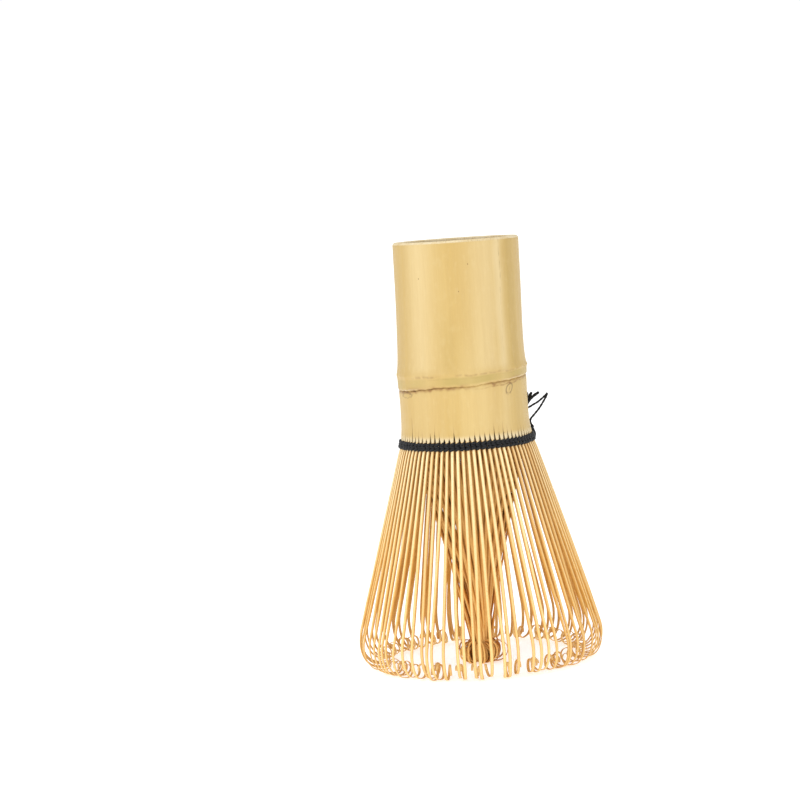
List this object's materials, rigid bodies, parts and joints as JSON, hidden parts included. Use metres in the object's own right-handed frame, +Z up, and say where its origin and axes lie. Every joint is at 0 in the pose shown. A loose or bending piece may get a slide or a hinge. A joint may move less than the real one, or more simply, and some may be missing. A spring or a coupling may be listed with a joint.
{
  "type": "bamboo tea whisk",
  "caption": "Hand-held bamboo whisk: hollow culm handle with a joint, split below a black thread binding into a flared ring of curled tines around a tight inner bundle.",
  "frame": {"origin": "on the floor under the culm's axis, with the whisk standing on its outer tine tips", "axes": "+Z up along the culm from the tine tips to the handle's cut end; the pictured side faces -Y; +X is to the right"},
  "size_m": [0.0614, 0.0614, 0.106],
  "materials": {
    "bamboo_skin": "smooth waxy bamboo skin with fine lengthwise fibres",
    "bamboo_cut": "pale raw bamboo, matt",
    "outer_tine": "split bamboo, satin",
    "inner_tine": "split bamboo, satin, darker",
    "thread": "waxed black twisted cotton"
  },
  "bodies": {
    "culm": {"handle_tube": "bamboo_skin", "joint_ring": "bamboo_skin", "joint_septum": "bamboo_cut", "culm_collar": "bamboo_skin", "outer_tine_roots": "outer_tine", "inner_tine_roots": "inner_tine", "thread_outer_rounds": "thread", "thread_inner_rounds": "thread", "thread_knots": "thread", "thread_ends": "thread"},
    "outer_group_01": {"outer_tines_01": "outer_tine"},
    "outer_group_02": {"outer_tines_02": "outer_tine"},
    "outer_group_03": {"outer_tines_03": "outer_tine"},
    "outer_group_04": {"outer_tines_04": "outer_tine"},
    "outer_group_05": {"outer_tines_05": "outer_tine"},
    "outer_group_06": {"outer_tines_06": "outer_tine"},
    "outer_group_07": {"outer_tines_07": "outer_tine"},
    "outer_group_08": {"outer_tines_08": "outer_tine"},
    "outer_group_09": {"outer_tines_09": "outer_tine"},
    "outer_group_10": {"outer_tines_10": "outer_tine"},
    "outer_group_11": {"outer_tines_11": "outer_tine"},
    "outer_group_12": {"outer_tines_12": "outer_tine"},
    "outer_group_13": {"outer_tines_13": "outer_tine"},
    "outer_group_14": {"outer_tines_14": "outer_tine"},
    "outer_group_15": {"outer_tines_15": "outer_tine"},
    "outer_group_16": {"outer_tines_16": "outer_tine"},
    "inner_group_1": {"inner_tines_01": "inner_tine", "inner_tines_02": "inner_tine"},
    "inner_group_2": {"inner_tines_03": "inner_tine", "inner_tines_04": "inner_tine"},
    "inner_group_3": {"inner_tines_05": "inner_tine", "inner_tines_06": "inner_tine"},
    "inner_group_4": {"inner_tines_07": "inner_tine", "inner_tines_08": "inner_tine"},
    "inner_group_5": {"inner_tines_09": "inner_tine", "inner_tines_10": "inner_tine"},
    "inner_group_6": {"inner_tines_11": "inner_tine", "inner_tines_12": "inner_tine"},
    "inner_group_7": {"inner_tines_13": "inner_tine", "inner_tines_14": "inner_tine"},
    "inner_group_8": {"inner_tines_15": "inner_tine", "inner_tines_16": "inner_tine"}
  },
  "joints": [
    {"name": "outer_flex_01", "type": "hinge", "parent": "culm", "child": "outer_group_01", "pos_m": [0.0167, 0, 0.05415], "axis": [0, -1, 0], "range_deg": [-2.5, 6], "stiffness_Nm_per_rad": 0.012},
    {"name": "outer_flex_02", "type": "hinge", "parent": "culm", "child": "outer_group_02", "pos_m": [0.01543, 0.00639, 0.05415], "axis": [0.3827, -0.9239, 0], "range_deg": [-2.5, 6], "stiffness_Nm_per_rad": 0.012},
    {"name": "outer_flex_03", "type": "hinge", "parent": "culm", "child": "outer_group_03", "pos_m": [0.01181, 0.01181, 0.05415], "axis": [0.7071, -0.7071, 0], "range_deg": [-2.5, 6], "stiffness_Nm_per_rad": 0.012},
    {"name": "outer_flex_04", "type": "hinge", "parent": "culm", "child": "outer_group_04", "pos_m": [0.00639, 0.01543, 0.05415], "axis": [0.9239, -0.3827, 0], "range_deg": [-2.5, 6], "stiffness_Nm_per_rad": 0.012},
    {"name": "outer_flex_05", "type": "hinge", "parent": "culm", "child": "outer_group_05", "pos_m": [0, 0.0167, 0.05415], "axis": [1, 0, 0], "range_deg": [-2.5, 6], "stiffness_Nm_per_rad": 0.012},
    {"name": "outer_flex_06", "type": "hinge", "parent": "culm", "child": "outer_group_06", "pos_m": [-0.00639, 0.01543, 0.05415], "axis": [0.9239, 0.3827, 0], "range_deg": [-2.5, 6], "stiffness_Nm_per_rad": 0.012},
    {"name": "outer_flex_07", "type": "hinge", "parent": "culm", "child": "outer_group_07", "pos_m": [-0.01181, 0.01181, 0.05415], "axis": [0.7071, 0.7071, 0], "range_deg": [-2.5, 6], "stiffness_Nm_per_rad": 0.012},
    {"name": "outer_flex_08", "type": "hinge", "parent": "culm", "child": "outer_group_08", "pos_m": [-0.01543, 0.00639, 0.05415], "axis": [0.3827, 0.9239, 0], "range_deg": [-2.5, 6], "stiffness_Nm_per_rad": 0.012},
    {"name": "outer_flex_09", "type": "hinge", "parent": "culm", "child": "outer_group_09", "pos_m": [-0.0167, 0, 0.05415], "axis": [0, 1, 0], "range_deg": [-2.5, 6], "stiffness_Nm_per_rad": 0.012},
    {"name": "outer_flex_10", "type": "hinge", "parent": "culm", "child": "outer_group_10", "pos_m": [-0.01543, -0.00639, 0.05415], "axis": [-0.3827, 0.9239, 0], "range_deg": [-2.5, 6], "stiffness_Nm_per_rad": 0.012},
    {"name": "outer_flex_11", "type": "hinge", "parent": "culm", "child": "outer_group_11", "pos_m": [-0.01181, -0.01181, 0.05415], "axis": [-0.7071, 0.7071, 0], "range_deg": [-2.5, 6], "stiffness_Nm_per_rad": 0.012},
    {"name": "outer_flex_12", "type": "hinge", "parent": "culm", "child": "outer_group_12", "pos_m": [-0.00639, -0.01543, 0.05415], "axis": [-0.9239, 0.3827, 0], "range_deg": [-2.5, 6], "stiffness_Nm_per_rad": 0.012},
    {"name": "outer_flex_13", "type": "hinge", "parent": "culm", "child": "outer_group_13", "pos_m": [0, -0.0167, 0.05415], "axis": [-1, 0, 0], "range_deg": [-2.5, 6], "stiffness_Nm_per_rad": 0.012},
    {"name": "outer_flex_14", "type": "hinge", "parent": "culm", "child": "outer_group_14", "pos_m": [0.00639, -0.01543, 0.05415], "axis": [-0.9239, -0.3827, 0], "range_deg": [-2.5, 6], "stiffness_Nm_per_rad": 0.012},
    {"name": "outer_flex_15", "type": "hinge", "parent": "culm", "child": "outer_group_15", "pos_m": [0.01181, -0.01181, 0.05415], "axis": [-0.7071, -0.7071, 0], "range_deg": [-2.5, 6], "stiffness_Nm_per_rad": 0.012},
    {"name": "outer_flex_16", "type": "hinge", "parent": "culm", "child": "outer_group_16", "pos_m": [0.01543, -0.00639, 0.05415], "axis": [-0.3827, -0.9239, 0], "range_deg": [-2.5, 6], "stiffness_Nm_per_rad": 0.012},
    {"name": "inner_flex_1", "type": "hinge", "parent": "culm", "child": "inner_group_1", "pos_m": [0.01391, 0.00334, 0.05415], "axis": [0.2334, -0.9724, 0], "range_deg": [0, 4], "stiffness_Nm_per_rad": 0.006},
    {"name": "inner_flex_2", "type": "hinge", "parent": "culm", "child": "inner_group_2", "pos_m": [0.00747, 0.01219, 0.05415], "axis": [0.8526, -0.5225, 0], "range_deg": [0, 4], "stiffness_Nm_per_rad": 0.006},
    {"name": "inner_flex_3", "type": "hinge", "parent": "culm", "child": "inner_group_3", "pos_m": [-0.00334, 0.01391, 0.05415], "axis": [0.9724, 0.2334, 0], "range_deg": [0, 4], "stiffness_Nm_per_rad": 0.006},
    {"name": "inner_flex_4", "type": "hinge", "parent": "culm", "child": "inner_group_4", "pos_m": [-0.01219, 0.00747, 0.05415], "axis": [0.5225, 0.8526, 0], "range_deg": [0, 4], "stiffness_Nm_per_rad": 0.006},
    {"name": "inner_flex_5", "type": "hinge", "parent": "culm", "child": "inner_group_5", "pos_m": [-0.01391, -0.00334, 0.05415], "axis": [-0.2334, 0.9724, 0], "range_deg": [0, 4], "stiffness_Nm_per_rad": 0.006},
    {"name": "inner_flex_6", "type": "hinge", "parent": "culm", "child": "inner_group_6", "pos_m": [-0.00747, -0.01219, 0.05415], "axis": [-0.8526, 0.5225, 0], "range_deg": [0, 4], "stiffness_Nm_per_rad": 0.006},
    {"name": "inner_flex_7", "type": "hinge", "parent": "culm", "child": "inner_group_7", "pos_m": [0.00334, -0.01391, 0.05415], "axis": [-0.9724, -0.2334, 0], "range_deg": [0, 4], "stiffness_Nm_per_rad": 0.006},
    {"name": "inner_flex_8", "type": "hinge", "parent": "culm", "child": "inner_group_8", "pos_m": [0.01219, -0.00747, 0.05415], "axis": [-0.5225, -0.8526, 0], "range_deg": [0, 4], "stiffness_Nm_per_rad": 0.006}
  ]
}
